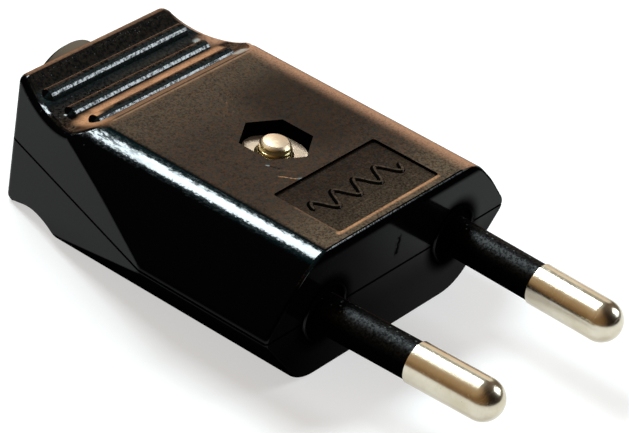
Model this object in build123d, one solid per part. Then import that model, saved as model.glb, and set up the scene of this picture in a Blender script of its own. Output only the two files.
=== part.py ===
"""Flat two-pin mains plug that opens on one screw and nut.

Two moulded half shells meet on the plane of the pins. Each pin is turned in one piece: a round tip, a
thin neck under an insulating sleeve, and a terminal barrel that the shells trap between them. A bar with
two screws holds the cord where it enters through the round boss at the rear.

Millimetres. The origin is the centre of the flat front face, on the plane of the pins. The pins point
along -Y, the cord leaves along +Y, and +Z is the side with the nut.
"""

import os
from math import atan, atan2, cos, pi, sin, sqrt, tan

from build123d import *

# Pins of the two-pin standard: reach from the front face, spacing at the face and at the tips
pin_reach = 19.0
pin_spacing_at_face = 18.6
pin_spacing_at_tips = 17.5
pin_diameter = 4.0
neck_diameter = 2.6
sleeve_diameter = 3.66
sleeve_reach = 10.0
collar_diameter = 4.7
collar_depth = 0.5

# Terminal barrel behind the front wall
barrel_diameter = 5.6
barrel_length = 9.8
barrel_edge = 0.3
wire_hole_diameter = 3.0
wire_hole_depth = 8.0
terminal_screw_setback = 8.4
terminal_screw_diameter = 2.5
terminal_screw_length = 2.9
terminal_head_diameter = 3.6
terminal_head_height = 1.0
terminal_head_gap = 0.1

# Body: a flat hexagon in section with swelled upper sides, tapered in plan behind its widest point
body_length = 36.4
body_height = 13.5
body_width = 35.1
flat_width = 23.0
width_at_taper = 34.0
taper_start = 15.0
rear_width = 19.7
wall = 1.8
front_wall = 3.2
top_edge_radius = 5.0
bottom_edge_radius = 5.0
side_edge_radius = 1.25
side_swell = 0.25
side_swell_radius = 12.0
front_edge_radius = 0.35
rear_edge_radius = 0.7
rear_corner_radius = 1.0
least_radius = 0.3
edge_tolerance = 0.01

# Finger scoops across the rear of the top and the underside, and the bars that stand in them
scoop_setback = 5.83
scoop_depth = 1.5
scoop_length = 9.65
scoop_end_radius = 0.8
scoop_end_chamfer = 0.25
grip_bar_setback = 6.1
grip_bar_count = 3
grip_bar_pitch = 2.9
grip_bar_width = 1.6
grip_bar_height = 0.55
grip_bar_length = 19.6
grip_bar_end_share = 0.6

# Shallow sunk panel behind the front edge of the top
panel_length = 14.3
panel_width = 7.5
panel_depth = 0.3
panel_front = 1.15
panel_corner = 0.3

# Case screw, its nut and the column that both pass through
column_setback = 14.17
column_diameter = 10.0
nut_across_flats = 6.0
nut_height = 2.4
nut_depth = 1.45
nut_corner = 0.35
nut_countersink = 0.35
case_screw_diameter = 2.9
case_head_diameter = 5.5
case_head_height = 1.9
case_head_depth = 0.6
case_screw_crown = 0.12

# Cord entry
boss_diameter = 10.0
boss_reach = 2.9
boss_edge = 0.5
cord_hole_diameter = 6.6

# Cord clamp: an arched bar on a saddle, held by two screws
clamp_setback = 27.6
clamp_width = 4.4
clamp_ear = 1.3
clamp_arch_rise = 1.9
clamp_arch_half_width = 3.2
clamp_thickness = 1.2
clamp_screw_diameter = 2.1
clamp_screw_length = 4.0
clamp_head_diameter = 3.8
clamp_head_height = 1.2
clamp_head_gap = 0.2
clamp_ear_margin = 0.4
saddle_bite = 0.2

# Ribs and pegs inside the shells
rib_thickness = 1.2
rib_half_width = 3.6
cradle_positions = (4.9, 11.9)
barrier_thickness = 1.6
peg_diameter = 1.8
peg_height = 1.2
peg_setback = 18.6
peg_offset = 11.7
peg_block_width = 3.6

# Screw heads and their driver slots
head_edge = 0.3
slot_width = 0.6
slot_share_of_head = 0.5
shank_chamfer_share = 0.1

# Parting groove round the outside, half of it in each shell
groove_depth = 0.15
groove_height = 0.24

# Clearances between parts, on the radius or on each side
neck_fit = 0.02
sleeve_fit = 0.05
barrel_fit = 0.08
thread_fit = 0.03
shank_fit = 0.15
head_fit = 0.25
nut_fit = 0.1
peg_fit = 0.08

half_height = body_height / 2
side_slope = atan2(half_height, (body_width - flat_width) / 2)
taper = atan2((width_at_taper - rear_width) / 2, body_length - taper_start)
pin_tilt = atan((pin_spacing_at_face - pin_spacing_at_tips) / 2 / pin_reach)
scoop_centre = body_length - scoop_setback
scoop_radius = ((scoop_length / 2) ** 2 + scoop_depth ** 2) / (2 * scoop_depth)
scoop_axis_height = half_height - scoop_depth + scoop_radius
nut_seat = half_height - nut_depth - nut_height
case_head_seat = -half_height + case_head_depth + case_head_height
barrel_back = front_wall + barrel_length
clamp_screw_offset = clamp_arch_half_width + clamp_thickness + clamp_head_gap + clamp_head_diameter / 2
clamp_half_length = clamp_screw_offset + clamp_head_diameter / 2 + clamp_ear_margin


def pin_axis(side):
    """Frame on a pin's axis at the front face: Z points out towards the tip and X points up."""
    out = (-side * sin(pin_tilt), -cos(pin_tilt), 0)
    return Plane(origin=(side * pin_spacing_at_face / 2, 0, 0), x_dir=(0, 0, 1), z_dir=out).location


def terminal_point(side):
    """The spot on a pin's axis that lies under its terminal screw."""
    inward = terminal_screw_setback * sin(pin_tilt)
    return side * (pin_spacing_at_face / 2 + inward), terminal_screw_setback * cos(pin_tilt)


def rod_along_y(radius, front, back, height=0.0):
    """Round rod along Y at the given height, between two setbacks."""
    frame = Plane(origin=(0, front, height), x_dir=(1, 0, 0), z_dir=(0, 1, 0)).location
    return frame * extrude(Circle(radius), amount=back - front)


def bar_between(x_low, x_high, y_low, y_high, z_low, z_high):
    """Plain block between two opposite corners."""
    middle = ((x_low + x_high) / 2, (y_low + y_high) / 2, (z_low + z_high) / 2)
    return Location(middle) * Box(x_high - x_low, y_high - y_low, z_high - z_low)


def body_section(inset):
    """Flat hexagon with rounded corners and swelled upper sides, moved in all round by the inset."""
    height = half_height - inset
    mid = body_width / 2 - inset / sin(side_slope)
    flat = mid - height / tan(side_slope)
    upper = max(top_edge_radius - inset, least_radius)
    lower = max(bottom_edge_radius - inset, least_radius)
    side = max(side_edge_radius - inset, least_radius)
    swell_x = (mid + flat) / 2 + side_swell * sin(side_slope)
    swell_z = height / 2 + side_swell * cos(side_slope)
    corners = [(mid, 0), (swell_x, swell_z), (flat, height), (-flat, height), (-swell_x, swell_z), (-mid, 0),
               (-flat, -height), (flat, -height)]
    radii = [side, side_swell_radius, upper, upper, side_swell_radius, side, lower, lower]
    return make_face(FilletPolyline(*corners, radius=radii, close=True))


def body_plan(inset):
    """Plan outline: straight past the taper's start, then drawn in to the rear."""
    edge = width_at_taper / 2 - inset / cos(taper)
    reach = body_width / 2 + 1
    bend = taper_start - (reach - edge) / tan(taper)
    rear = body_length - inset
    rear_half = edge - (rear - taper_start) * tan(taper)
    corner = max(rear_corner_radius - inset, least_radius)
    points = [(reach, -1), (reach, bend), (rear_half, rear), (-rear_half, rear), (-reach, bend), (-reach, -1)]
    return make_face(FilletPolyline(*points, radius=[0, 0, corner, corner, 0, 0], close=True))


def scoop_tool(side, inset):
    """Cylinder across the body that presses a finger scoop into the top or the underside."""
    frame = Plane(origin=(-body_width, scoop_centre, side * scoop_axis_height), z_dir=(1, 0, 0)).location
    return frame * extrude(Circle(scoop_radius + inset), amount=2 * body_width)


def plain_form(front=0.0, inset=0.0):
    """Hexagonal prism with its sides drawn in towards the rear, moved in all round by the inset."""
    length = body_length - inset - front
    frame = Plane(origin=(0, front, 0), x_dir=(1, 0, 0), z_dir=(0, -1, 0)).location
    prism = frame * extrude(body_section(inset), amount=-length)
    if front == 0:
        prism = fillet(prism.edges().group_by(Axis.Y)[0], front_edge_radius)
    slab = Location((0, 0, -body_height)) * extrude(body_plan(inset), amount=2 * body_height)
    return prism & slab


def scooped(form, inset=0.0):
    """The form with both finger scoops pressed into it."""
    return form - scoop_tool(1, inset) - scoop_tool(-1, inset)


def lies_on_taper(edge):
    """True for an edge that bounds one of the two tapered side planes, clear of the parting plane."""
    middle = edge @ 0.5
    half = width_at_taper / 2 - (middle.Y - taper_start) * tan(taper)
    return abs(abs(middle.X) - half) < edge_tolerance and abs(middle.Z) > side_edge_radius / 2


def ends_a_scoop(edge, side):
    """True for an edge at either end of a finger scoop, in the top or the underside."""
    middle = edge @ 0.5
    if middle.Z * side < 0:
        return False
    reach = sqrt((middle.Y - scoop_centre) ** 2 + (abs(middle.Z) - scoop_axis_height) ** 2)
    return abs(reach - scoop_radius) < edge_tolerance and edge.geom_type != GeomType.LINE


def outer_form():
    """Outer form with eased edges at the sides, the rear and the scoops, and the boss for the cord."""
    form = plain_form()
    side_edges = [edge for edge in form.edges() if lies_on_taper(edge)]
    rear_edges = list(form.edges().group_by(Axis.Y)[-1])
    form = scooped(fillet(side_edges + rear_edges, rear_edge_radius))
    form = fillet([edge for edge in form.edges() if ends_a_scoop(edge, 1)], scoop_end_radius)
    form = chamfer([edge for edge in form.edges() if ends_a_scoop(edge, -1)], scoop_end_chamfer)
    boss = rod_along_y(boss_diameter / 2, body_length - rear_edge_radius - 1, body_length + boss_reach)
    boss = chamfer(boss.edges().group_by(Axis.Y)[-1], boss_edge)
    return form + boss


def grip_bar(index, side):
    """One rounded bar that stands across a finger scoop."""
    setback = body_length - grip_bar_setback + (index - (grip_bar_count - 1) / 2) * grip_bar_pitch
    drop = sqrt(scoop_radius ** 2 - (setback - scoop_centre) ** 2)
    surface = scoop_axis_height - drop
    radius = grip_bar_width / 2
    height = side * (surface + grip_bar_height - radius)
    frame = Plane(origin=(-grip_bar_length / 2, setback, height), z_dir=(1, 0, 0)).location
    bar = extrude(Circle(radius), amount=grip_bar_length)
    return frame * chamfer(bar.edges(), radius * grip_bar_end_share)


def half_space(side):
    """Everything above the parting plane, or everything below it."""
    low, high = (0, body_height) if side > 0 else (-body_height, 0)
    return bar_between(-body_width, body_width, -1, body_length + boss_reach + 1, low, high)


def pin_seat(side):
    """Room that both shells leave along a pin: collar recess, sleeve channel and barrel bed."""
    collar = collar_diameter / 2 + sleeve_fit
    sleeve = sleeve_diameter / 2 + sleeve_fit
    barrel = barrel_diameter / 2 + barrel_fit
    recess = Location((0, 0, -collar_depth)) * extrude(Circle(collar), amount=collar_depth + 1)
    channel = Location((0, 0, -front_wall - 1)) * extrude(Circle(sleeve), amount=front_wall + 2)
    bed = Location((0, 0, -barrel_back)) * extrude(Circle(barrel), amount=barrel_length)
    return pin_axis(side) * (recess + channel + bed)


def pin(side):
    """Turned pin: terminal barrel, neck under the sleeve, and a full-size tip with a round end."""
    barrel = barrel_diameter / 2
    neck = neck_diameter / 2
    tip = pin_diameter / 2
    tip_start = pin_reach - tip
    outline = Polyline((0, -barrel_back), (barrel - barrel_edge, -barrel_back),
                       (barrel, -barrel_back + barrel_edge), (barrel, -front_wall), (neck, -front_wall),
                       (neck, sleeve_reach), (tip, sleeve_reach), (tip, tip_start))
    end = ThreePointArc((tip, tip_start), (tip * sin(pi / 4), tip_start + tip * cos(pi / 4)), (0, pin_reach))
    axis_line = Line((0, pin_reach), (0, -barrel_back))
    body = revolve(Plane.XZ * make_face(outline + end + axis_line), Axis.Z)
    body -= Location((0, 0, -barrel_back)) * extrude(Circle(wire_hole_diameter / 2), amount=wire_hole_depth)
    body = pin_axis(side) * body
    x, y = terminal_point(side)
    hole = extrude(Circle(terminal_screw_diameter / 2), amount=barrel_diameter)
    return body - Location((x, y, 0)) * hole


def pin_sleeve(side):
    """Insulating sleeve on the neck, with a collar that sits in the recess of the front face."""
    sleeve = sleeve_diameter / 2
    inner = neck_diameter / 2 + neck_fit
    collar = collar_diameter / 2
    outline = Polyline((inner, -front_wall), (sleeve, -front_wall), (sleeve, -collar_depth),
                       (collar, -collar_depth), (collar, 0), (sleeve, 0), (sleeve, sleeve_reach),
                       (inner, sleeve_reach), close=True)
    return pin_axis(side) * revolve(Plane.XZ * make_face(outline), Axis.Z)


def slotted_screw(shank_diameter, shank_length, head_diameter, head_height):
    """Cheese-head screw: the head's seat is at the origin, its shank points down -Z."""
    head = extrude(Circle(head_diameter / 2), amount=head_height)
    head = chamfer(head.edges().group_by(Axis.Z)[-1], head_edge)
    slot_depth = head_height * slot_share_of_head
    slot = bar_between(-head_diameter, head_diameter, -slot_width / 2, slot_width / 2,
                       head_height - slot_depth, head_height + 1)
    shank = extrude(Circle(shank_diameter / 2), amount=-shank_length)
    shank = chamfer(shank.edges().group_by(Axis.Z)[0], shank_diameter * shank_chamfer_share)
    return head - slot + shank


def terminal_screw(side):
    """Screw that presses the wire in a terminal barrel."""
    x, y = terminal_point(side)
    screw = slotted_screw(terminal_screw_diameter - 2 * thread_fit, terminal_screw_length,
                          terminal_head_diameter, terminal_head_height)
    seat = barrel_diameter / 2 + terminal_head_gap
    return Location((x, y, seat), (0, 0, side * 25)) * screw


def clamp_screw(side):
    """Screw that pulls the cord clamp down on its saddle."""
    screw = slotted_screw(clamp_screw_diameter, clamp_screw_length, clamp_head_diameter,
                          clamp_head_height)
    place = (side * clamp_screw_offset, clamp_setback, clamp_ear)
    return Location(place, (0, 0, 40 - side * 15)) * screw


def case_screw():
    """Screw that enters from the underside and ends, with a low crown, level with the top."""
    length = half_height - case_head_seat
    flat_end = length - case_screw_crown
    screw = slotted_screw(case_screw_diameter, flat_end, case_head_diameter, case_head_height)
    end_radius = case_screw_diameter * (0.5 - shank_chamfer_share)
    crown_radius = (end_radius ** 2 + case_screw_crown ** 2) / (2 * case_screw_crown)
    crown = Location((0, 0, crown_radius - length)) * Sphere(crown_radius)
    crown &= bar_between(-end_radius, end_radius, -end_radius, end_radius, -length, -flat_end)
    return Location((0, column_setback, case_head_seat), (180, 0, 0)) * (screw + crown)


def case_nut():
    """Hexagon nut with chamfered corners and a countersunk thread."""
    inside = nut_across_flats / 2
    corner = inside / cos(pi / 6)
    prism = extrude(RegularPolygon(inside, 6, major_radius=False, rotation=30), amount=nut_height)
    disc = extrude(Circle(corner), amount=nut_height)
    disc = chamfer(disc.edges(), nut_corner, nut_corner)
    thread = case_screw_diameter / 2 + thread_fit
    hole = extrude(Circle(thread), amount=nut_height)
    mouth = Cone(thread, thread + nut_countersink, nut_countersink,
                 align=(Align.CENTER, Align.CENTER, Align.MIN))
    top_mouth = Location((0, 0, nut_height - nut_countersink)) * mouth
    bottom_mouth = Location((0, 0, nut_countersink), (180, 0, 0)) * mouth
    nut = (prism & disc) - hole - top_mouth - bottom_mouth
    return Location((0, column_setback, nut_seat)) * nut


def cord_clamp():
    """Arched bar: two flat ears on the saddle and an arch over the cord."""
    arch = clamp_arch_half_width
    crown = clamp_arch_rise + clamp_thickness
    shoulder = arch + clamp_thickness
    under = ThreePointArc((-arch, 0), (0, clamp_arch_rise), (arch, 0))
    over = ThreePointArc((shoulder, clamp_ear), (0, crown), (-shoulder, clamp_ear))
    end = clamp_half_length
    right = Polyline((arch, 0), (end, 0), (end, clamp_ear), (shoulder, clamp_ear))
    left = Polyline((-shoulder, clamp_ear), (-end, clamp_ear), (-end, 0), (-arch, 0))
    frame = Plane(origin=(0, clamp_setback - clamp_width / 2, 0), x_dir=(1, 0, 0), z_dir=(0, -1, 0))
    bar = frame.location * extrude(make_face(under + right + over + left), amount=-clamp_width)
    for side in (-1, 1):
        hole = extrude(Circle(clamp_screw_diameter / 2 + shank_fit), amount=3 * clamp_ear, both=True)
        bar -= Location((side * clamp_screw_offset, clamp_setback, 0)) * hole
    return bar


def inner_ribs(side):
    """Cradles for the barrels, the wall between them and the column round the case screw."""
    depth = side * body_height
    low, high = sorted((0, depth))
    ribs = Location((0, column_setback, 0)) * extrude(Circle(column_diameter / 2), amount=depth)
    ribs += bar_between(-barrier_thickness / 2, barrier_thickness / 2, 0, column_setback, low, high)
    for pin_side in (-1, 1):
        centre = terminal_point(pin_side)[0]
        for setback in cradle_positions:
            ribs += bar_between(centre - rib_half_width, centre + rib_half_width,
                                setback - rib_thickness / 2, setback + rib_thickness / 2, low, high)
        ribs += peg_block(pin_side, low, high)
    return ribs


def peg_block(pin_side, low, high):
    """Block that joins the side wall and carries a locating peg or its hole."""
    inner = peg_offset - peg_block_width / 2
    x_low, x_high = sorted((pin_side * inner, pin_side * body_width / 2))
    return bar_between(x_low, x_high, peg_setback - peg_block_width / 2, peg_setback + peg_block_width / 2,
                       low, high)


def stop_ribs():
    """Low ribs behind the barrels, under the mouths of their wire holes."""
    ribs = None
    top = -wire_hole_diameter / 2 - barrel_fit
    for side in (-1, 1):
        centre = terminal_point(side)[0]
        rib = bar_between(centre - rib_half_width, centre + rib_half_width, barrel_back + barrel_fit,
                          barrel_back + barrel_fit + rib_thickness, -body_height, top)
        ribs = rib if ribs is None else ribs + rib
    return ribs


def saddle():
    """Block across the lower shell that carries the cord under the clamp and takes its screws."""
    half = clamp_half_length
    return bar_between(-half, half, clamp_setback - clamp_width / 2, clamp_setback + clamp_width / 2,
                       -body_height, 0)


def half_shell(side, extra=None):
    """One moulded half: its wall, its grip bars and its ribs, with room for pins and cord."""
    outside = outer_form() & half_space(side)
    shell = outside - scooped(plain_form(front_wall, wall), wall)
    inside = inner_ribs(side)
    if extra is not None:
        inside += extra
    shell += inside & outside
    for index in range(grip_bar_count):
        shell += grip_bar(index, side)
    for pin_side in (-1, 1):
        shell -= pin_seat(pin_side)
    cord = cord_hole_diameter / 2
    shell -= rod_along_y(cord, body_length - wall - 1, body_length + boss_reach + 1)
    shell -= Location((0, column_setback, 0)) * Cylinder(case_screw_diameter / 2 + shank_fit, 2 * body_height)
    return shell - parting_groove()


def parting_groove():
    """Shallow groove round the outside where the two shells meet."""
    band = bar_between(-body_width, body_width, -1, body_length + boss_reach + 1,
                       -groove_height / 2, groove_height / 2)
    ring = band - plain_form(groove_depth, groove_depth)
    return ring - rod_along_y(boss_diameter / 2 - groove_depth, body_length - wall, body_length + boss_reach)


def nut_pocket():
    """Hexagonal pocket from the top down to the nut's seat, corners fore and aft."""
    room = RegularPolygon(nut_across_flats / 2 + nut_fit, 6, major_radius=False, rotation=30)
    return Location((0, column_setback, nut_seat)) * extrude(room, amount=body_height)


def sunk_panel():
    """Shallow rectangle with small corners, sunk in the top behind the front edge."""
    outline = RectangleRounded(panel_length, panel_width, panel_corner)
    middle = (0, panel_front + panel_width / 2, half_height - panel_depth)
    return Location(middle) * extrude(outline, amount=panel_depth + 1)


def upper_shell():
    """Upper half: nut pocket, sunk panel and the two locating pegs."""
    shell = half_shell(1) - nut_pocket() - sunk_panel()
    for side in (-1, 1):
        peg = extrude(Circle(peg_diameter / 2), amount=-peg_height)
        peg = chamfer(peg.edges().group_by(Axis.Z)[0], peg_diameter / 8)
        shell += Location((side * peg_offset, peg_setback, 0)) * peg
    return shell


def lower_shell():
    """Lower half: head recess, cord saddle with its screw holes, and the holes for the pegs."""
    shell = half_shell(-1, stop_ribs() + saddle())
    saddle_groove = rod_along_y(cord_hole_diameter / 2 - saddle_bite, clamp_setback - clamp_width,
                                clamp_setback + clamp_width)
    shell -= saddle_groove
    head_room = case_head_diameter / 2 + head_fit
    shell -= Location((0, column_setback, case_head_seat)) * extrude(Circle(head_room), amount=-body_height)
    for side in (-1, 1):
        peg_hole = extrude(Circle(peg_diameter / 2 + peg_fit), amount=-peg_height - peg_fit * 4)
        shell -= Location((side * peg_offset, peg_setback, 0)) * peg_hole
        pilot = extrude(Circle(clamp_screw_diameter / 2 + thread_fit), amount=-clamp_screw_length)
        shell -= Location((side * clamp_screw_offset, clamp_setback, 0)) * pilot
    return shell


def build():
    """All the parts of the plug, by name."""
    parts = {"upper_shell": upper_shell(), "lower_shell": lower_shell()}
    for name, side in (("left", -1), ("right", 1)):
        parts["pin_" + name] = pin(side)
        parts["pin_sleeve_" + name] = pin_sleeve(side)
        parts["terminal_screw_" + name] = terminal_screw(side)
        parts["clamp_screw_" + name] = clamp_screw(side)
    parts["cord_clamp"] = cord_clamp()
    parts["case_screw"] = case_screw()
    parts["case_nut"] = case_nut()
    return parts


os.makedirs("parts", exist_ok=True)
for part_name, shape in build().items():
    export_step(shape, "parts/" + part_name + ".step")
    print(part_name, "solids", len(shape.solids()), "volume", round(shape.volume, 1))
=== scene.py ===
from math import cos, pi, radians, sin

import bpy
import numpy as np
from mathutils import Matrix, Vector


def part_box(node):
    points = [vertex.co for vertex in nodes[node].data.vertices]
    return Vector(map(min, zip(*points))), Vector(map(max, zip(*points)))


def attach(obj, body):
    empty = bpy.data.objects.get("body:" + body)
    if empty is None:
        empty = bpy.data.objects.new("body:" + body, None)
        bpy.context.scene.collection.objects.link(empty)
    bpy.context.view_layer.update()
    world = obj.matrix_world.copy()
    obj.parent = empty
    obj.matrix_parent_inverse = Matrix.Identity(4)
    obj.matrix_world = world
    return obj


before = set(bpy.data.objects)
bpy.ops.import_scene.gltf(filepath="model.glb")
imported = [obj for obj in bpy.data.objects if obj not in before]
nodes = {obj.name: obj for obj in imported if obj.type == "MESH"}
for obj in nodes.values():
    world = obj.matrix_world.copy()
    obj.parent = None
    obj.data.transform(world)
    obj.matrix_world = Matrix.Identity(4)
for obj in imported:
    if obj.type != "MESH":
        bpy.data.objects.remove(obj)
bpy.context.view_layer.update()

# The plug's own frame: the origin is the centre of the front face, the pins point along -Y, +Z is up.
mm = 0.001
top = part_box("upper_shell")[1][2]
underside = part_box("lower_shell")[0][2]
nut_low, nut_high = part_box("case_nut")
nut_x = (nut_low[0] + nut_high[0]) / 2
nut_y = (nut_low[1] + nut_high[1]) / 2
nut_face = nut_high[2]
scoop_front = 25.75 * mm
body_rear = 36.4 * mm
panel_middle = 4.9 * mm
panel_depth = 0.3 * mm
pin_root_offset = 9.3 * mm

# Camera, fitted to the photograph
camera_azimuth = radians(-56.116)
camera_elevation = radians(32.999)
camera_roll = radians(9.25)
camera_distance = 322.97 * mm
camera_aim = Vector((1.646 * mm, 9.882 * mm, 0.0))
camera_lens = 205.76
camera_sensor = 36.0

# Lamps aim at the middle of the body
lamp_aim = Vector((0.0, 12.0 * mm, 0.0))


def add(tree, kind, inputs=None, **settings):
    """Adds a node. inputs gives each socket, by name or number, its value or the socket that feeds it."""
    made = tree.nodes.new(kind)
    for name, value in settings.items():
        setattr(made, name, value)
    for key, value in (inputs or {}).items():
        if isinstance(value, bpy.types.NodeSocket):
            tree.links.new(value, made.inputs[key])
        else:
            made.inputs[key].default_value = value
    return made


def calc(tree, operation, *values, clamp=False):
    """A Math node's result."""
    made = add(tree, "ShaderNodeMath", dict(enumerate(values)), operation=operation, use_clamp=clamp)
    return made.outputs[0]


def times(tree, first, *others):
    """The product of all the values."""
    product = first
    for other in others:
        product = calc(tree, "MULTIPLY", product, other)
    return product


def without(tree, mask):
    """What a mask leaves free: 1 where it is 0."""
    return calc(tree, "SUBTRACT", 1.0, mask)


def vector(tree, operation, *values):
    """A Vector Math node's vector, or its value for a length or a dot product."""
    made = add(tree, "ShaderNodeVectorMath", dict(enumerate(values)), operation=operation)
    return made.outputs["Value" if operation in ("LENGTH", "DOT_PRODUCT") else "Vector"]


def split(tree, value, axes="XYZ"):
    """The parts of a vector along the named axes."""
    parts = add(tree, "ShaderNodeSeparateXYZ", {0: value}).outputs
    return [parts[axis] for axis in axes]


def ease(tree, value, low, high, start=0.0, end=1.0):
    """Smooth step from start to end as the value goes from low to high."""
    made = add(tree, "ShaderNodeMapRange", {0: value, 1: low, 2: high, 3: start, 4: end},
               interpolation_type="SMOOTHSTEP")
    return made.outputs[0]


def blend(tree, share, first, second):
    """Mixes two colours: none of the second where share is 0."""
    made = add(tree, "ShaderNodeMix", {0: share, 6: first, 7: second}, data_type="RGBA")
    return made.outputs[2]


def noise(tree, place, scale, detail=3.0, rough=0.5):
    """Noise value at a place in metres; the scale is in features per millimetre."""
    made = add(tree, "ShaderNodeTexNoise", {"Vector": place, "Scale": scale / mm, "Detail": detail,
                                            "Roughness": rough})
    return made.outputs[0]


def effect(name, inputs, outputs):
    """Starts a node group with named inputs and outputs. Gives its tree, its inputs and its output ends."""
    tree = bpy.data.node_groups.new(name, "ShaderNodeTree")
    kinds = {float: "NodeSocketFloat", tuple: "NodeSocketVector"}
    for label, value in inputs.items():
        made = tree.interface.new_socket(label, in_out="INPUT", socket_type=kinds[type(value)])
        made.default_value = value
    for label in outputs:
        tree.interface.new_socket(label, in_out="OUTPUT", socket_type="NodeSocketFloat")
    start = tree.nodes.new("NodeGroupInput")
    end = tree.nodes.new("NodeGroupOutput")
    return tree, start.outputs, end.inputs


def moulded_skin():
    """Height of a moulded plastic skin, a fine grain on long, low waves, and a mottle of broad patches."""
    tree, given, end = effect("Moulded skin", {"Place": (0.0, 0.0, 0.0), "Grain size": 1.0, "Wave": 0.5},
                              ["Height", "Mottle"])
    place = vector(tree, "DIVIDE", given["Place"], given["Grain size"])
    grain = noise(tree, place, 6.0, 2.0, 0.6)
    wave = noise(tree, place, 0.9, 2.0, 0.5)
    tree.links.new(calc(tree, "MULTIPLY_ADD", wave, given["Wave"], grain), end["Height"])
    tree.links.new(noise(tree, place, 0.25, 4.0, 0.65), end["Mottle"])
    return tree


def hairlines():
    """Fine straight scratches: stretched noise cut down to its thin crests, in two directions."""
    tree, given, end = effect("Hairlines", {"Place": (0.0, 0.0, 0.0), "Density": 0.5, "Turn": 0.6},
                              ["Mask"])
    turns = (0.0, 1.9)
    stretch = (0.06, 1.0, 1.0)
    crest_width = 0.008
    limit = calc(tree, "SUBTRACT", 0.85, calc(tree, "MULTIPLY", given["Density"], 0.4))
    masks = []
    for turn in turns:
        angle = calc(tree, "ADD", given["Turn"], turn)
        turned = add(tree, "ShaderNodeVectorRotate", {"Vector": given["Place"], "Angle": angle},
                     rotation_type="Z_AXIS").outputs[0]
        drawn = vector(tree, "MULTIPLY", turned, stretch)
        crest = calc(tree, "ABSOLUTE", calc(tree, "SUBTRACT", noise(tree, drawn, 2.6, 1.0, 0.4), 0.5))
        thin = ease(tree, crest, 0.0, crest_width, 1.0, 0.0)
        patch = ease(tree, noise(tree, turned, 0.22, 1.0, 0.5), limit, calc(tree, "ADD", limit, 0.1))
        masks.append(times(tree, thin, patch))
    tree.links.new(calc(tree, "MAXIMUM", *masks), end["Mask"])
    return tree


def specks():
    """Small round specks of painted glints: the cores of scattered cells, four in ten of them."""
    tree, given, end = effect("Specks", {"Place": (0.0, 0.0, 0.0), "Cell": 1.0, "Size": 0.2}, ["Mask"])
    bare_share = 0.6
    scale = calc(tree, "DIVIDE", 1 / mm, given["Cell"])
    place = add(tree, "ShaderNodeVectorMath", {0: given["Place"], "Scale": scale}, operation="SCALE")
    cells = add(tree, "ShaderNodeTexVoronoi", {"Vector": place.outputs[0], "Scale": 1.0}, feature="F1")
    chance = add(tree, "ShaderNodeSeparateColor", {0: cells.outputs["Color"]}).outputs[0]
    core = ease(tree, cells.outputs["Distance"], 0.0, given["Size"], 1.0, 0.0)
    tree.links.new(times(tree, core, calc(tree, "GREATER_THAN", chance, bare_share)), end["Mask"])
    return tree


def soft_box():
    """Mask that is 1 inside a box and falls off smoothly outside it."""
    tree, given, end = effect("Soft box", {"Place": (0.0, 0.0, 0.0), "Middle": (0.0, 0.0, 0.0),
                                           "Half size": (1.0, 1.0, 1.0), "Fade": 0.001}, ["Mask"])
    away = vector(tree, "ABSOLUTE", vector(tree, "SUBTRACT", given["Place"], given["Middle"]))
    past = vector(tree, "MAXIMUM", vector(tree, "SUBTRACT", away, given["Half size"]), (0.0, 0.0, 0.0))
    tree.links.new(ease(tree, vector(tree, "LENGTH", past), 0.0, given["Fade"], 1.0, 0.0), end["Mask"])
    return tree


def scratch():
    """Mask of a straight scratch: 1 on the line from Start to End, gone at a ragged distance near Width."""
    tree, given, end = effect("Scratch", {"Place": (0.0, 0.0, 0.0), "Start": (0.0, 0.0, 0.0),
                                          "End": (1.0, 0.0, 0.0), "Width": 0.0001}, ["Mask"])
    from_start = vector(tree, "SUBTRACT", given["Place"], given["Start"])
    whole = vector(tree, "SUBTRACT", given["End"], given["Start"])
    share = calc(tree, "DIVIDE", vector(tree, "DOT_PRODUCT", from_start, whole),
                 vector(tree, "DOT_PRODUCT", whole, whole), clamp=True)
    nearest = vector(tree, "MULTIPLY", whole, share)
    away = vector(tree, "LENGTH", vector(tree, "SUBTRACT", from_start, nearest))
    roughness = ease(tree, noise(tree, given["Place"], 3.0, 2.0), 0.35, 0.6, 0.3, 1.3)
    ragged = times(tree, given["Width"], roughness)
    tree.links.new(ease(tree, away, 0.0, ragged, 1.0, 0.0), end["Mask"])
    return tree


effects = {made.name: made for made in (moulded_skin(), hairlines(), specks(), soft_box(), scratch())}


def use(tree, name, output, **inputs):
    """Places an effect in a material with its own values. Underscores in the names stand for spaces."""
    given = {key.replace("_", " "): value for key, value in inputs.items()}
    return add(tree, "ShaderNodeGroup", given, node_tree=effects[name]).outputs[output]


def start_material(name):
    """A new material, its tree and its shader."""
    made = bpy.data.materials.new(name)
    made.use_nodes = True
    return made, made.node_tree, made.node_tree.nodes["Principled BSDF"]


def each_place(tree):
    """Each point's place in the plug's frame, in metres."""
    return add(tree, "ShaderNodeTexCoord").outputs["Object"]


def each_normal(tree):
    """Each point's smooth normal in the plug's frame."""
    return add(tree, "ShaderNodeTexCoord").outputs["Normal"]


def feed(tree, shader, **sockets):
    """Links or sets the shader's sockets. Underscores in the names stand for spaces."""
    for key, value in sockets.items():
        socket = shader.inputs[key.replace("_", " ")]
        if isinstance(value, bpy.types.NodeSocket):
            tree.links.new(value, socket)
        else:
            socket.default_value = value


def bump(tree, height, depth, strength=1.0):
    """A Bump node's normal for a height whose full range is the depth in metres."""
    made = add(tree, "ShaderNodeBump", {"Height": height, "Distance": depth, "Strength": strength})
    return made.outputs[0]
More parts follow.
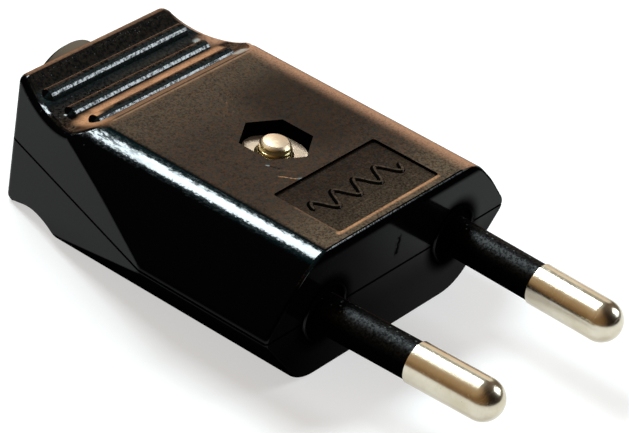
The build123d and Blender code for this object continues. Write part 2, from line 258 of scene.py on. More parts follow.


# Colours of the shells and of the painted reflections, glints and marks on them
black = (0.0012, 0.0012, 0.0013, 1.0)
umber = (0.034, 0.030, 0.025, 1.0)
russet = (0.060, 0.034, 0.021, 1.0)
copper = (0.47, 0.23, 0.12, 1.0)
bronze = (0.23, 0.14, 0.085, 1.0)
chalk = (0.55, 0.60, 0.58, 1.0)
amber = (0.50, 0.25, 0.125, 1.0)
rust = (0.20, 0.100, 0.055, 1.0)
tan = (0.145, 0.105, 0.068, 1.0)
teal = (0.003, 0.0105, 0.012, 1.0)
slate = (0.014, 0.024, 0.026, 1.0)
# Pale dust, also used for painted glints
dust_and_glint = (0.26, 0.30, 0.31, 1.0)
boss_top_reflection = (0.145, 0.115, 0.085, 1.0)
right_edge_reflection = (0.33, 0.175, 0.105, 1.0)

# Colours of the other pieces
sleeve_speckle_highlight = (0.16, 0.21, 0.20, 1.0)
clamp_grey = (0.03, 0.03, 0.032, 1.0)
pin_pale = (0.63, 0.585, 0.48, 1.0)
pin_deep = (0.56, 0.50, 0.38, 1.0)
nut_pale = (0.84, 0.64, 0.48, 1.0)
nut_deep = (0.70, 0.52, 0.37, 1.0)
nut_countersink_dark = (0.16, 0.13, 0.055, 1.0)
screw_olive = (0.50, 0.42, 0.22, 1.0)
screw_pale = (0.72, 0.57, 0.40, 1.0)
screw_deep = (0.54, 0.42, 0.30, 1.0)

# Places on the top with painted reflections and glints, a darker patch, brown on the rear rim and a dust
# patch:
# middle, half size, fade, strength and colour. One that is deep takes in what lies below the top too, such
# as the scoop.
deep = 3.0 * mm
painted_light_and_dust_places = (
    # A darker patch in the painted top reflection
    ((6.0 * mm, 16.0 * mm, top), (2.0 * mm, 4.0 * mm, deep), 4.0 * mm, 0.45, black),
    # Painted brown and dark reflection bands along the scoop's front crease
    ((0.0, 25.95 * mm, top), (10.2 * mm, 0.3 * mm, deep), 0.8 * mm, 0.45, rust),
    ((0.5 * mm, 25.50 * mm, top), (9.6 * mm, 0.02 * mm, deep), 0.16 * mm, 1.0, bronze),
    ((0.5 * mm, 25.95 * mm, top), (9.6 * mm, 0.02 * mm, deep), 0.16 * mm, 1.0, bronze),
    ((0.5 * mm, 26.35 * mm, top), (9.6 * mm, 0.02 * mm, deep), 0.14 * mm, 1.0, bronze),
    ((0.5 * mm, 25.73 * mm, top), (9.6 * mm, 0.02 * mm, deep), 0.12 * mm, 0.7, umber),
    ((0.5 * mm, 26.16 * mm, top), (9.6 * mm, 0.02 * mm, deep), 0.12 * mm, 0.7, umber),
    # Painted copper reflection between the first two bars, painted amber reflection at the first bar's left
    # end
    ((1.2 * mm, 28.9 * mm, top), (8.6 * mm, 0.12 * mm, deep), 0.75 * mm, 1.0, copper),
    ((-9.6 * mm, 27.4 * mm, top), (0.4 * mm, 0.8 * mm, deep), 1.3 * mm, 1.0, amber),
    ((-8.0 * mm, 28.5 * mm, top), (0.8 * mm, 0.1 * mm, deep), 1.2 * mm, 0.8, amber),
    # Brown between the second and third bars, a painted teal sheen behind the last bar, and brown on the
    # rear rim
    ((4.0 * mm, 31.9 * mm, top), (6.0 * mm, 0.2 * mm, deep), 0.6 * mm, 0.5, umber),
    ((0.0, 35.0 * mm, top), (8.4 * mm, 0.1 * mm, deep), 0.7 * mm, 0.8, slate),
    ((0.0, 36.2 * mm, top), (9.0 * mm, 0.3 * mm, 0.2 * mm), 1.0 * mm, 0.9, rust),
    # A pale dust patch at the right end of the first bar
    ((9.7 * mm, 26.4 * mm, top), (0.5 * mm, 0.15 * mm, deep), 0.6 * mm, 0.95, chalk),
    # Painted glints: at the right end of the bars, on the rear rim and on the scoop's left rim
    ((9.38 * mm, 31.25 * mm, top), (0.2 * mm, 0.1 * mm, deep), 0.4 * mm, 1.0, chalk),
    ((7.39 * mm, 34.15 * mm, top), (0.25 * mm, 0.05 * mm, deep), 0.35 * mm, 0.9, dust_and_glint),
    ((-9.95 * mm, 30.35 * mm, top), (0.04 * mm, 0.04 * mm, deep), 0.16 * mm, 1.0, chalk),
    ((-9.95 * mm, 33.25 * mm, top), (0.04 * mm, 0.04 * mm, deep), 0.16 * mm, 1.0, chalk),
    ((-9.95 * mm, 34.2 * mm, top), (0.04 * mm, 0.04 * mm, deep), 0.16 * mm, 1.0, chalk),
    # Painted amber and rust reflections on the panel's front rim and its left edge
    ((0.0, 1.02 * mm, top), (6.9 * mm, 0.03 * mm, 0.3 * mm), 0.24 * mm, 0.8, amber),
    ((-7.1 * mm, 1.1 * mm, top), (0.3 * mm, 0.05 * mm, 0.3 * mm), 0.30 * mm, 0.9, amber),
    ((-7.2 * mm, 3.6 * mm, top), (0.02 * mm, 2.4 * mm, 0.3 * mm), 0.18 * mm, 0.5, rust),
)

# Scratches on the top: start and end in plan, width, strength and colour
scratches = (
    ((-4.53 * mm, 10.22 * mm), (-3.55 * mm, 8.85 * mm), 0.09 * mm, 0.8, amber),
    ((-3.84 * mm, 10.79 * mm), (-2.59 * mm, 9.66 * mm), 0.06 * mm, 0.5, rust),
    ((-5.6 * mm, 9.7 * mm), (-4.6 * mm, 8.9 * mm), 0.06 * mm, 0.4, rust),
    ((-3.45 * mm, 8.85 * mm), (-3.15 * mm, 8.72 * mm), 0.17 * mm, 0.8, dust_and_glint),
    ((-4.0 * mm, 12.05 * mm), (-3.85 * mm, 11.85 * mm), 0.13 * mm, 0.8, dust_and_glint),
    ((-3.83 * mm, 11.69 * mm), (-3.5 * mm, 10.95 * mm), 0.10 * mm, 0.9, black),
)

# Small dark notch on the front face: its two ends and its width
notch_top = (0.71 * mm, 0.0, 3.3 * mm)
notch_foot = (0.57 * mm, 0.0, 1.7 * mm)
notch_width = 0.5 * mm

# How the fine scratches lie on the shells
hairline_density = 0.5
hairline_turn = 0.55

# Soft borders on the shells: each pair says where a mask starts to change and where it has changed
top_band_rises = (4.6 * mm, 5.2 * mm)
shine_rises = (4.2 * mm, 5.0 * mm)
scoop_begins = (scoop_front - 0.6 * mm, scoop_front + 0.5 * mm)
scoop_shine_begins = (scoop_front + 0.6 * mm, scoop_front + 1.2 * mm)
panel_floor = (top - 0.25 * mm, top - 0.05 * mm)
# Where the painted top reflection turns tan: towards the scoop, and in front
tan_by_scoop = (17 * mm, 25 * mm)
tan_in_front = (0.8 * mm, 8 * mm)
right_edge_turns_brown = (8.9 * mm, 11.2 * mm)
streak_thins = (17 * mm, 25.5 * mm)
streak_stops_beside = (-9.2 * mm, -8.4 * mm)
fringe_stops_beside = (-9.0 * mm, -8.4 * mm)
rust_stops_behind = (body_rear - 1.2 * mm, body_rear - 0.7 * mm)
slate_fades_behind = (body_rear - 3.0 * mm, body_rear - 2.2 * mm)
fringe_rises = (5.0 * mm, 5.4 * mm)
face_shine_stops_above = (5.4 * mm, 6.0 * mm)
upright_shine_stops_above = (6.1 * mm, 6.4 * mm)
root_shade_ends = (2.9 * mm, 4.4 * mm)
nut_shade_ends = (4.5 * mm, 6.0 * mm)
nut_shade_height = 6.0 * mm

# The same for how far the smooth normal points up, on the flat of the top and on the right edge's round
flat_lies = (0.986, 0.9996)
right_round_lies = (0.80, 0.93)

# The same for how far it points to the left, in the core and in the halo of the streak on the left edge
core_starts = (0.25, 0.33)
core_stops = (0.425, 0.47)
halo_starts = (0.14, 0.24)
halo_stops = (0.46, 0.55)

# The same for how far it points to the right, in the streak's painted teal fringe: less than 0 is to the
# left
fringe_starts = (-0.12, -0.22)
fringe_stops = (-0.56, -0.46)

# What is added to how far the normal points left: everywhere, and for each metre towards the rear
streak_shift = 0.04
streak_drift = -3.0

# How far noise moves the borders of core, halo and fringe
core_raggedness = 0.12
halo_raggedness = 0.20
fringe_raggedness = 0.16

# Range of the noise in which the grain of the painted top reflection goes from weak to strong
grain_range = (0.36, 0.64)


def roughen(tree, value, grain, depth):
    """A value with a noise round 0.5 added to it, at the given depth."""
    return calc(tree, "MULTIPLY_ADD", calc(tree, "SUBTRACT", grain, 0.5), depth, value)


def scoop_sides(tree, at):
    """Masks of the part ahead of the scoop's front edge and of the part behind it."""
    y = split(tree, at, "Y")[0]
    ahead = ease(tree, y, *scoop_begins, 1.0, 0.0)
    return ahead, without(tree, ahead)


def flat_top(tree, normal):
    """Mask of the flat of the top, which also takes in the start of the right edge's round."""
    lean_x, lean_z = split(tree, normal, "XZ")
    inner = ease(tree, lean_z, *flat_lies)
    outer = times(tree, ease(tree, lean_x, 0.0, 0.05), ease(tree, lean_z, *right_round_lies))
    return calc(tree, "MAXIMUM", inner, outer)


def painted_reflection_patches(tree, at, mottle, grain):
    """How strong the painted brown reflection lies: broad and small patches and a fine grain, weaker on the
    panel's floor.
    """
    z = split(tree, at, "Z")[0]
    blotch = noise(tree, at, 1.6, 3.0, 0.65)
    return times(tree, ease(tree, mottle, 0.3, 0.7, 0.85, 1.15), ease(tree, grain, *grain_range, 0.62, 1.42),
                 ease(tree, blotch, 0.35, 0.65, 0.85, 1.15), ease(tree, z, *panel_floor, 0.45, 1.0))


def painted_reflection_tint(tree, at, grain):
    """The painted reflection's brown, from umber to russet, and tan towards the scoop and in front."""
    y = split(tree, at, "Y")[0]
    tint = blend(tree, ease(tree, noise(tree, at, 3.5, 4.0, 0.8), 0.42, 0.58), umber, russet)
    by_scoop = ease(tree, y, *tan_by_scoop, 0.0, 0.22)
    in_front = ease(tree, y, *tan_in_front, 0.45, 0.0)
    tan_share = calc(tree, "MAXIMUM", by_scoop, in_front)
    return blend(tree, times(tree, tan_share, ease(tree, grain, *grain_range, 0.30, 1.75)), tint, tan)


def add_painted_light_and_dust(tree, at, normal, high, mottle, grain, colour):
    """Lays the painted reflections and glints and the other places over a colour, on what doesn't fall away
    to the front or the left.
    """
    lean_x, lean_y = split(tree, normal, "XY")
    level = times(tree, ease(tree, lean_y, -0.22, -0.05), ease(tree, lean_x, -0.5, -0.25))
    for middle, half, fade, strength, tint in painted_light_and_dust_places:
        inside = use(tree, "Soft box", "Mask", Place=at, Middle=middle, Half_size=half, Fade=fade)
        patch = times(tree, inside, ease(tree, mottle, 0.25, 0.7, 0.55 * strength, strength),
                      ease(tree, grain, 0.30, 0.62, 0.55, 1.1), level, high)
        colour = blend(tree, patch, colour, tint)
    return colour


def add_painted_scoop_reflections(tree, at, normal, high, behind, grain, colour):
    """Lays a painted rust-brown reflection over the backs of the bars and a painted slate reflection over
    their fronts.
    """
    y = split(tree, at, "Y")[0]
    lean_x, lean_y = split(tree, normal, "XY")
    # Painted brown reflection on the backs of the bars
    backs = times(tree, ease(tree, lean_y, 0.25, 0.6), behind, high,
                  ease(tree, calc(tree, "ABSOLUTE", lean_x), 0.1, 0.3, 1.0, 0.0),
                  ease(tree, y, *rust_stops_behind, 1.0, 0.0),
                  ease(tree, grain, 0.35, 0.65, 0.4, 1.0))
    # Painted slate reflection on the fronts of the bars
    fronts = times(tree, ease(tree, lean_y, -0.08, -0.30), behind, high,
                   ease(tree, grain, 0.36, 0.62, 0.25, 1.0),
                   ease(tree, y, *slate_fades_behind, 1.0, 0.15))
    return blend(tree, fronts, blend(tree, backs, colour, rust), slate)


def painted_teal_fringe(tree, at, normal, ahead, grain):
    """Mask of the painted dark teal reflection that borders the streak along the left upper edge, with a
    grainy outline.
    """
    x, z = split(tree, at, "XZ")
    lean_x = split(tree, normal, "X")[0]
    grainy = roughen(tree, lean_x, grain, fringe_raggedness)
    return times(tree, ease(tree, grainy, *fringe_starts), ease(tree, grainy, *fringe_stops, 0.0, 0.7),
                 ease(tree, z, *fringe_rises), ahead, ease(tree, x, *fringe_stops_beside, 1.0, 0.0))


def shell_colour_and_painted_light(tree, at, normal):
    """Colour of the shells: black, with a painted brown reflection on the flat top, painted reflections and
    glints in places, and scratches, hairlines and dust.
    """
    x, y, z = split(tree, at)
    lean_z = split(tree, normal, "Z")[0]
    mottle = use(tree, "Moulded skin", "Mottle", Place=at, Grain_size=1.4)
    grain = noise(tree, at, 4.5, 4.0, 0.8)
    high = ease(tree, z, *top_band_rises)
    ahead, behind = scoop_sides(tree, at)
    # Painted warm brown reflection on the flat of the top, in patches and grain
    flat = times(tree, flat_top(tree, normal), high)
    painted_top_reflection = times(tree, flat, painted_reflection_patches(tree, at, mottle, grain), ahead)
    colour = blend(tree, painted_top_reflection, black, painted_reflection_tint(tree, at, grain))
    colour = add_painted_light_and_dust(tree, at, normal, high, mottle, grain, colour)
    colour = add_painted_scoop_reflections(tree, at, normal, high, behind, grain, colour)
    # Painted lighter top on the boss
    boss_top = times(tree, ease(tree, y, body_rear, body_rear + 0.2 * mm), ease(tree, lean_z, 0.5, 1.0))
    colour = blend(tree, times(tree, boss_top, 0.75), colour, boss_top_reflection)
    # Painted warm reflection on the right edge's round
    right_edge = times(tree, ease(tree, x, *right_edge_turns_brown), ease(tree, grain, 0.35, 0.6, 0.6, 1.2),
                       flat)
    colour = blend(tree, right_edge, colour, right_edge_reflection)
    plan = vector(tree, "MULTIPLY", at, (1.0, 1.0, 0.0))
    for start, end, width, strength, tint in scratches:
        line = use(tree, "Scratch", "Mask", Place=plan, Start=(*start, 0.0), End=(*end, 0.0), Width=width)
        colour = blend(tree, times(tree, line, flat, strength), colour, tint)
    lines = use(tree, "Hairlines", "Mask", Place=at, Density=hairline_density, Turn=hairline_turn)
    colour = blend(tree, times(tree, lines, flat, 0.6), colour, rust)
    # Pale specks behind the scoop's front edge: painted speckled sheen
    dots = use(tree, "Specks", "Mask", Place=at, Cell=0.42, Size=0.16)
    colour = blend(tree, times(tree, dots, behind, high, 0.45), colour, dust_and_glint)
    # Painted teal reflection bordering the streak on the left upper edge
    return blend(tree, painted_teal_fringe(tree, at, normal, ahead, grain), colour, teal)


def edge_streak(tree, at, normal, fine, drawn):
    """Shine along the left upper edge: a ragged core, thin towards the rear, in a faint halo."""
    x, y = split(tree, at, "XY")
    lean_x = split(tree, normal, "X")[0]
    leftward = calc(tree, "MULTIPLY_ADD", y, streak_drift, calc(tree, "SUBTRACT", streak_shift, lean_x))
    ragged = roughen(tree, leftward, drawn, halo_raggedness)
    crisp = roughen(tree, leftward, fine, core_raggedness)
    thin = times(tree, ease(tree, y, *streak_thins), ease(tree, drawn, 0.40, 0.55, 0.9, 0.1))
    core = times(tree, ease(tree, ragged, *core_starts), ease(tree, crisp, *core_stops, 1.0, 0.0),
                 without(tree, thin))
    halo = times(tree, ease(tree, ragged, *halo_starts), ease(tree, ragged, *halo_stops, 1.0, 0.0),
                 ease(tree, fine, 0.44, 0.62, 0.004, 0.05))
    return times(tree, calc(tree, "MAXIMUM", core, halo), ease(tree, x, *streak_stops_beside, 1.0, 0.0))


def front_rim(tree, at, normal, fine):
    """Shine along the round between the top and the front face, fading to the right."""
    x, y = split(tree, at, "XY")
    lean_y = split(tree, normal, "Y")[0]
    return times(tree, ease(tree, lean_y, -0.85, -0.55), ease(tree, lean_y, -0.15, -0.3),
                 ease(tree, fine, 0.40, 0.60, 0.1, 0.9), ease(tree, x, -9 * mm, 4 * mm, 1.0, 0.3),
                 ease(tree, y, 0.5 * mm, 0.8 * mm, 1.0, 0.0))


def scoop_shine(tree, at, normal):
    """Shine in the scoop and on the fronts of its bars, broken up by ticks and weak where they lie level."""
    y = split(tree, at, "Y")[0]
    lean_x, lean_y, lean_z = split(tree, normal)
    ticks = noise(tree, at, 3.0, 3.0, 0.75)
    return times(tree, ease(tree, y, *scoop_shine_begins),
                 ease(tree, lean_y, 0.15, 0.40, 1.0, 0.0), ease(tree, lean_z, 0.3, 0.5),
                 ease(tree, ticks, 0.38, 0.60, 0.12, 1.25), ease(tree, lean_x, -0.5, -0.2),
                 ease(tree, lean_z, 0.94, 0.99, 1.25, 0.25),
                 ease(tree, y, body_rear - 0.1 * mm, body_rear, 1.0, 0.0))


def wave_shine(tree, at, normal, fine):
    """Faint shine on the front flanks of the wave in the sunk panel."""
    lean_y = split(tree, normal, "Y")[0]
    in_panel = use(tree, "Soft box", "Mask", Place=at, Middle=(0.0, panel_middle, top - 0.25 * mm),
                   Half_size=(6.4 * mm, 1.6 * mm, 0.1 * mm), Fade=0.2 * mm)
    return times(tree, in_panel, ease(tree, lean_y, -0.12, -0.35, 0.0, 0.22),
                 ease(tree, fine, 0.36, 0.56, 0.3, 1.0))


def front_face_shine(tree, at):
    """Shine of the front face: more to the right, less low down, none at the pin roots or in the notch."""
    x, z = split(tree, at, "XZ")
    to_root = calc(tree, "SUBTRACT", calc(tree, "ABSOLUTE", x), pin_root_offset)
    to_root = calc(tree, "SQRT", calc(tree, "ADD", times(tree, to_root, to_root), times(tree, z, z)))
    low_down = ease(tree, z, -3 * mm, 1 * mm, 0.4, 0.0)
    notch = use(tree, "Scratch", "Mask", Place=vector(tree, "MULTIPLY", at, (1.0, 0.0, 1.0)),
                Start=notch_top, End=notch_foot, Width=notch_width)
    return times(tree, ease(tree, x, -15 * mm, 12 * mm, 0.05, 1.0), ease(tree, to_root, *root_shade_ends),
                 without(tree, low_down), without(tree, notch),
                 ease(tree, z, *face_shine_stops_above, 1.0, 0.0))


def upright_shine(tree, at, normal):
    """Weak shine of upright faces, kept off the nut pocket and the upper rim."""
    z = split(tree, at, "Z")[0]
    lean_y, lean_z = split(tree, normal, "YZ")
    nut_middle = (nut_x, nut_y, nut_shade_height)
    from_nut = vector(tree, "LENGTH", vector(tree, "SUBTRACT", at, nut_middle))
    front = ease(tree, lean_y, -0.99, -0.9, 1.0, 0.0)
    shade = times(tree, front, without(tree, front_face_shine(tree, at)))
    return times(tree, ease(tree, calc(tree, "ABSOLUTE", lean_z), 0.05, 0.3, 0.24, 0.0),
                 ease(tree, from_nut, *nut_shade_ends), without(tree, shade),
                 ease(tree, z, *upright_shine_stops_above, 1.0, 0.0))


def polish_mask(tree, at, normal):
    """Where the shells shine: the long upper edge, the scoop, the front rim, and upright faces a little."""
    z = split(tree, at, "Z")[0]
    fine = noise(tree, vector(tree, "MULTIPLY", at, (1.0, 0.45, 1.0)), 7.0, 2.0, 0.6)
    drawn = noise(tree, vector(tree, "MULTIPLY", at, (1.0, 0.35, 1.0)), 3.5, 3.0, 0.65)
    shine = edge_streak(tree, at, normal, fine, drawn)
    for other in (scoop_shine(tree, at, normal), front_rim(tree, at, normal, fine),
                  wave_shine(tree, at, normal, fine)):
        shine = calc(tree, "MAXIMUM", shine, other)
    shine = times(tree, shine, ease(tree, z, *shine_rises))
    return calc(tree, "MAXIMUM", shine, upright_shine(tree, at, normal))


def shell_plastic():
    """Glossy black moulding with a painted brown reflection on what faces up, and painted amber reflections
    and glints in places.
    """
    made, tree, shader = start_material("Glossy plastic")
    at = each_place(tree)
    normal = each_normal(tree)
    lean_z = split(tree, normal, "Z")[0]
    skin = use(tree, "Moulded skin", "Height", Place=at, Grain_size=0.8, Wave=0.8)
    lines = use(tree, "Hairlines", "Mask", Place=at, Density=hairline_density, Turn=hairline_turn)
    height = calc(tree, "MULTIPLY_ADD", lines, -1.5, skin)
    feed(tree, shader, Base_Color=shell_colour_and_painted_light(tree, at, normal),
         Roughness=ease(tree, lean_z, 0.93, 0.995, 0.20, 0.40), Specular_IOR_Level=0.0,
         Coat_Weight=polish_mask(tree, at, normal), Coat_Roughness=0.10,
         Normal=bump(tree, height, depth=0.010 * mm, strength=0.8))
    return made


def sleeve_plastic():
    """Black sleeve with a pebbled skin, a painted grey-green speckled highlight on top and a painted brown
    highlight on the ridge.
    """
    made, tree, shader = start_material("Sleeve plastic")
    at = each_place(tree)
    lean_x, lean_z = split(tree, each_normal(tree), "XZ")
    skin = use(tree, "Moulded skin", "Height", Place=at, Grain_size=1.0, Wave=1.2)
    dots = use(tree, "Specks", "Mask", Place=at, Cell=0.40, Size=0.34)
    # Painted grey-green speckled highlight on what faces up
    colour = blend(tree, times(tree, dots, ease(tree, lean_z, 0.60, 1.0), 0.55), black, sleeve_speckle_highlight)
    # Painted brown highlight along the ridge
    ridge = times(tree, ease(tree, lean_x, 0.25, 0.75), ease(tree, lean_z, 0.1, 0.7), 0.10)
    pebbles = ease(tree, noise(tree, at, 4.5, 2.0, 0.6), 0.36, 0.62, 0.35, 1.6)
    feed(tree, shader, Base_Color=blend(tree, ridge, colour, rust), Roughness=0.5, Specular_IOR_Level=0.0,
         Coat_Weight=times(tree, pebbles, ease(tree, lean_z, 0.25, 0.65, 0.0, 0.14)), Coat_Roughness=0.34,
         Normal=bump(tree, skin, depth=0.05 * mm))
    return made


def pin_metal():
    """Nickel over turned brass: faint lathe lines round the pin and a warm body."""
    made, tree, shader = start_material("Pin metal")
    at = each_place(tree)
    rings = noise(tree, vector(tree, "MULTIPLY", at, (0.02, 1.0, 0.02)), 9.0, 2.0, 0.6)
    lines = use(tree, "Hairlines", "Mask", Place=at, Density=0.9, Turn=0.1)
    mottle = use(tree, "Moulded skin", "Mottle", Place=at, Grain_size=0.6)
    rough = calc(tree, "MULTIPLY_ADD", lines, 0.12, calc(tree, "MULTIPLY_ADD", rings, 0.10, 0.16))
    height = calc(tree, "MULTIPLY_ADD", lines, -1.0, rings)
    feed(tree, shader, Base_Color=blend(tree, ease(tree, mottle, 0.3, 0.7), pin_pale, pin_deep),
         Metallic=1.0, Roughness=rough, Normal=bump(tree, height, depth=0.002 * mm, strength=0.35))
    return made


def countersink_darkening(tree, at):
    """Mask of the dark ring round the case screw: near its axis and below the nut's face."""
    z = split(tree, at, "Z")[0]
    out = vector(tree, "SUBTRACT", at, (nut_x, nut_y, 0.0))
    reach = vector(tree, "LENGTH", vector(tree, "MULTIPLY", out, (1.0, 1.0, 0.0)))
    return times(tree, ease(tree, reach, 1.78 * mm, 1.92 * mm, 1.0, 0.0),
                 ease(tree, z, nut_face - 0.02 * mm, nut_face + 0.01 * mm, 1.0, 0.0))


def nut_metal():
    """Pale pinkish nickel with fine tumbling marks, dark in the countersink."""
    made, tree, shader = start_material("Nut metal")
    at = each_place(tree)
    lines = use(tree, "Hairlines", "Mask", Place=at, Density=1.2, Turn=0.9)
    mottle = use(tree, "Moulded skin", "Mottle", Place=at, Grain_size=0.5)
    colour = blend(tree, ease(tree, mottle, 0.3, 0.7), nut_pale, nut_deep)
    # Darker in the countersink, below the nut's face
    colour = blend(tree, times(tree, countersink_darkening(tree, at), 0.9), colour, nut_countersink_dark)
    height = calc(tree, "SUBTRACT", mottle, lines)
    feed(tree, shader, Base_Color=colour, Metallic=1.0,
         Roughness=calc(tree, "MULTIPLY_ADD", mottle, 0.2, 0.34),
         Normal=bump(tree, height, depth=0.004 * mm, strength=0.6))
    return made


def screw_metal():
    """Brassy plating, pale on the worn end and olive down in the threads, with faint turning marks."""
    made, tree, shader = start_material("Screw metal")
    at = each_place(tree)
    z = split(tree, at, "Z")[0]
    grain = use(tree, "Moulded skin", "Height", Place=at, Grain_size=0.4, Wave=0.6)
    mottle = use(tree, "Moulded skin", "Mottle", Place=at, Grain_size=0.4)
    worn = ease(tree, z, top - 0.4 * mm, top - 0.2 * mm)
    pale = blend(tree, ease(tree, mottle, 0.35, 0.65), screw_pale, screw_deep)
    feed(tree, shader, Base_Color=blend(tree, worn, screw_olive, pale), Metallic=1.0,
         Roughness=calc(tree, "MULTIPLY_ADD", worn, 0.28, 0.20),
         Normal=bump(tree, grain, depth=0.012 * mm, strength=0.8))
    return made


def clamp_plastic():
    """Plain black moulding of the cord clamp, duller than the shells."""
    made, tree, shader = start_material("Clamp plastic")
    at = each_place(tree)
    skin = use(tree, "Moulded skin", "Height", Place=at, Grain_size=0.7, Wave=0.3)
    mottle = use(tree, "Moulded skin", "Mottle", Place=at, Grain_size=0.7)
    feed(tree, shader, Base_Color=blend(tree, mottle, black, clamp_grey),
         Roughness=calc(tree, "MULTIPLY_ADD", mottle, 0.2, 0.35),
         Normal=bump(tree, skin, depth=0.02 * mm, strength=0.7))
    return made


def coat(name, material):
    """Puts one material on a CAD node."""
    slots = nodes[name].data.materials
    slots.clear()
    slots.append(material)


shell_finish = shell_plastic()
sleeve_finish = sleeve_plastic()
pin_finish = pin_metal()
screw_finish = screw_metal()
for name in ("upper_shell", "lower_shell"):
    coat(name, shell_finish)
for side in ("left", "right"):
    coat("pin_" + side, pin_finish)
    coat("pin_sleeve_" + side, sleeve_finish)
    coat("terminal_screw_" + side, screw_finish)
    coat("clamp_screw_" + side, screw_finish)
coat("case_screw", screw_finish)
coat("case_nut", nut_metal())
coat("cord_clamp", clamp_plastic())


def surface(name, points, finish, close_along=False):
    """Mesh from a grid of points, rows along by columns round the profile, with each cell a face.

    The last column joins the first. The last row joins the first as well where close_along is set.
    """
    rows, columns = points.shape[:2]
    row = np.arange(rows if close_along else rows - 1)[:, None]
    column = np.arange(columns)[None, :]
    next_row = (row + 1) % rows
    next_column = (column + 1) % columns
    faces = np.stack([row * columns + column, row * columns + next_column,
                      next_row * columns + next_column, next_row * columns + column], -1).reshape(-1, 4)
    mesh = bpy.data.meshes.new(name)
    mesh.from_pydata(points.reshape(-1, 3).tolist(), [], faces.tolist())
    mesh.materials.append(finish)
    mesh.shade_smooth()
    made = bpy.data.objects.new(name, mesh)
    bpy.context.scene.collection.objects.link(made)
    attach(made, "root")


def panel_wave():
    """Plain raised wave on the floor of the sunk panel: y swings as a sine of x, four times.

    A half ellipse stands across the path: path + across * width / 2 * cos(t) + up * height * sin(t), with t
    from 0 to pi. Its width shrinks to nothing at both ends of the path.
    """
    half, swing, turns = 6.0 * mm, 0.95 * mm, 4
    width, height = 0.62 * mm, 0.16 * mm
    share = np.linspace(0.0, 1.0, 241)
    path = np.stack([-half + 2 * half * share, panel_middle + swing * np.sin(2 * pi * turns * share),
                     np.full(share.shape, top - panel_depth)], -1)
    along = np.gradient(path, axis=0)
    along /= np.linalg.norm(along, axis=1)[:, None]
    across = np.stack([-along[:, 1], along[:, 0], np.zeros(share.shape)], -1)
    swell = np.sqrt(np.clip(1 - (2 * share - 1) ** 60, 0.0, 1.0))
    angle = np.linspace(0.0, pi, 9)
    side = (across * swell[:, None])[:, None, :] * (width / 2 * np.cos(angle))[None, :, None]
    up = np.array((0.0, 0.0, 1.0)) * (height * np.sin(angle))[None, :, None]
    surface("panel_wave", path[:, None, :] + side + up, shell_finish)


def screw_thread():
    """Thread on the screw's end: a triangular ridge along a helix.

    Its points are r = root + depth * (1 - |s|) and z = the helix's height + half width * s, for s from 1 to
    -1. Depth and half width shrink to nothing at both ends.
    """
    pitch, root, depth = 0.5 * mm, 1.43 * mm, 0.17 * mm
    half_width = 0.42 * pitch
    low, high = 4.95 * mm, 6.15 * mm
    run_out = 1.2
    turns = (high - low) / pitch
    angle = np.linspace(0.0, 2 * pi * turns, int(64 * turns) + 1)
    share = np.linspace(1.0, -1.0, 7)
    fade = np.clip(np.minimum(angle, angle[-1] - angle) / run_out, 0.0, 1.0)[:, None]
    angle = angle[:, None]
    radius = root + depth * (1 - np.abs(share)) * fade
    height = low + pitch * angle / (2 * pi) + half_width * share * fade
    points = np.stack([nut_x + radius * np.cos(angle), nut_y + radius * np.sin(angle), height], -1)
    surface("screw_thread", points, screw_finish)


def root_ring(side, offset):
    """Low raised ring round a pin's root: a half ellipse turned about the pin's axis on the front face.

    Its points are radius = middle + half width * cos(t) and -height * sin(t) along Y, with t from pi to 0.
    """
    middle, half_width, height = 2.78 * mm, 0.20 * mm, 0.26 * mm
    angle = np.linspace(0.0, 2 * pi, 97)[:-1, None]
    turn = np.linspace(pi, 0.0, 9)[None, :]
    radius = middle + half_width * np.cos(turn)
    outwards = np.broadcast_to(-height * np.sin(turn), (angle.size, turn.size))
    points = np.stack([offset + radius * np.cos(angle), outwards, radius * np.sin(angle)], -1)
    surface("root_ring_" + side, points, shell_finish, close_along=True)


panel_wave()
screw_thread()
root_ring("left", -pin_root_offset)
root_ring("right", pin_root_offset)


def stage_floor():
    """Pale floor just under the plug: a camera or a mirror sees it as white, and it keeps the shadow."""
    half = 3.0
    low = underside - 0.02 * mm
    glow = 0.55
    mesh = bpy.data.meshes.new("floor")
    corners = [(-half, -half, low), (half, -half, low), (half, half, low), (-half, half, low)]
    mesh.from_pydata(corners, [], [(0, 1, 2, 3)])
    floor = bpy.data.objects.new("floor", mesh)
    bpy.context.scene.collection.objects.link(floor)
    made, tree, shader = start_material("Floor")
    rays = add(tree, "ShaderNodeLightPath").outputs
    seen = calc(tree, "MAXIMUM", calc(tree, "MAXIMUM", rays["Is Camera Ray"], rays["Is Glossy Ray"]),
                rays["Is Transmission Ray"])
    feed(tree, shader, Base_Color=(0.50, 0.50, 0.50, 1.0), Roughness=1.0, Specular_IOR_Level=0.0,
         Emission_Color=(1.0, 1.0, 1.0, 1.0), Emission_Strength=times(tree, seen, glow))
    mesh.materials.append(made)


# The room: its own colour, then patches over it, each with its direction, the cosines where it starts
# and where it is full, and its colour: right side, left side, upper left, a window and a low warm glow.
room_colour = (0.020, 0.012, 0.007, 1.0)
room_patches = (
    ((0.85, 0.35, 0.40), -0.1, 0.95, (0.16, 0.11, 0.07, 1.0)),
    ((-0.95, 0.10, 0.25), 0.2, 1.0, (0.26, 0.15, 0.065, 1.0)),
    ((-0.45, 0.45, 0.75), 0.72, 1.0, (0.52, 0.36, 0.20, 1.0)),
    ((0.78, 0.47, 0.40), 0.945, 0.965, (1.1, 1.04, 0.92, 1.0)),
    ((0.70, 0.70, 0.12), 0.89, 0.99, (1.2, 0.78, 0.50, 1.0)),
)


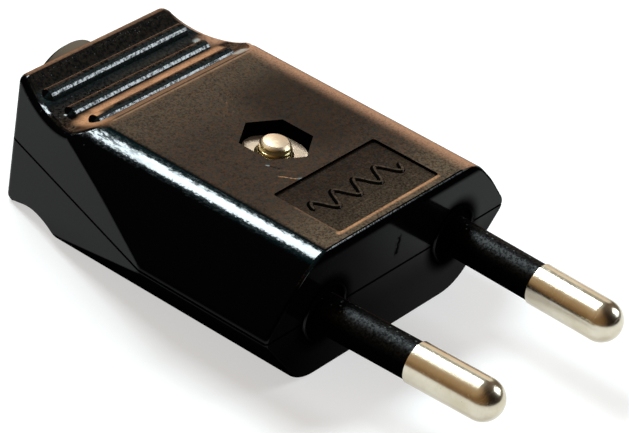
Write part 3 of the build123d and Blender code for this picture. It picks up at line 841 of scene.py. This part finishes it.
def stage_world():
    """Dim brown room with its patches, which the pins and the shells mirror."""
    world = bpy.data.worlds.new("Room")
    world.use_nodes = True
    bpy.context.scene.world = world
    tree = world.node_tree
    way = add(tree, "ShaderNodeTexCoord").outputs["Generated"]
    room = room_colour
    for direction, start, full, colour in room_patches:
        cosine = vector(tree, "DOT_PRODUCT", way, tuple(Vector(direction).normalized()))
        room = blend(tree, ease(tree, cosine, start, full), room, colour)
    tree.links.new(room, tree.nodes["Background"].inputs["Color"])


def lamp(name, direction, distance, width, height, power, colour):
    """Soft rectangular lamp in a direction from the plug, turned to face it."""
    data = bpy.data.lights.new(name, "AREA")
    data.shape = "RECTANGLE"
    data.size = width
    data.size_y = height
    data.energy = power
    data.color = colour
    made = bpy.data.objects.new(name, data)
    bpy.context.scene.collection.objects.link(made)
    way = Vector(direction).normalized()
    made.location = lamp_aim + way * distance
    made.rotation_euler = (-way).to_track_quat("-Z", "Y").to_euler()


def stage_camera():
    """Camera on the photograph's line of sight, with its roll."""
    flat = cos(camera_elevation)
    back = Vector((sin(camera_azimuth) * flat, -cos(camera_azimuth) * flat, sin(camera_elevation)))
    right = Vector((0.0, 0.0, 1.0)).cross(back).normalized()
    up = back.cross(right)
    turned_right = right * cos(camera_roll) + up * sin(camera_roll)
    turned_up = back.cross(turned_right)
    data = bpy.data.cameras.new("Camera")
    data.sensor_width = camera_sensor
    data.sensor_fit = "HORIZONTAL"
    data.lens = camera_lens
    data.clip_start = 10 * mm
    data.clip_end = 20.0
    made = bpy.data.objects.new("Camera", data)
    bpy.context.scene.collection.objects.link(made)
    turn = Matrix((turned_right, turned_up, back)).transposed().to_4x4()
    made.matrix_world = Matrix.Translation(camera_aim + back * camera_distance) @ turn
    bpy.context.scene.camera = made


stage_floor()
stage_world()
lamp("strip", direction=(0.05, 0.32, 0.53), distance=0.62, width=0.46, height=0.13, power=5.0,
     colour=(0.82, 0.95, 1.0))
lamp("right", direction=(0.70, -0.47, 0.52), distance=0.75, width=0.30, height=0.35, power=2.8,
     colour=(0.84, 0.94, 1.0))
stage_camera()
bpy.context.scene.view_settings.view_transform = "Standard"
